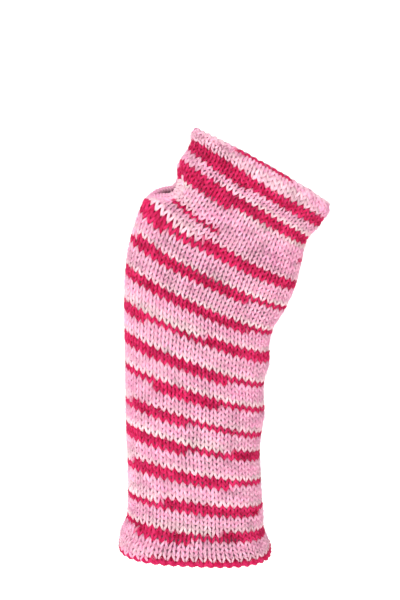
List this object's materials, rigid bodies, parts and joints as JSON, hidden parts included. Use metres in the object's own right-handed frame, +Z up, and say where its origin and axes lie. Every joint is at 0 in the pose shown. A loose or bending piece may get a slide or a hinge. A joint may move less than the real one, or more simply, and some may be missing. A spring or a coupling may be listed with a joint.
{
  "type": "knitted wrist warmer",
  "caption": "Long striped wool wrist warmer in its worn, hollow form: a seamless knitted tube over forearm, wrist and hand, open at both ends, with a thumb opening.",
  "frame": {"origin": "centre of the hollow at the wearer's wrist, where the arm and hand hold the warmer", "axes": "+Z up along the forearm towards the hand, the back of the hand faces -Y, the thumb is towards -X"},
  "size_m": [0.1263, 0.066, 0.2636],
  "materials": {
    "hem_wool": "matt knitted wool, magenta edge on pink",
    "arm_wool": "matt knitted wool, pink with magenta and cream stripes",
    "hand_wool": "matt knitted wool, pink with magenta and cream stripes",
    "lip_wool": "matt knitted wool, pink",
    "rim_wool": "matt knitted wool, pale pink and cream"
  },
  "bodies": {
    "root": {"cast_on_hem": "hem_wool", "arm_tube": "arm_wool", "hand_tube": "hand_wool", "thumb_lip": "lip_wool", "finger_rim": "rim_wool"}
  },
  "joints": []
}
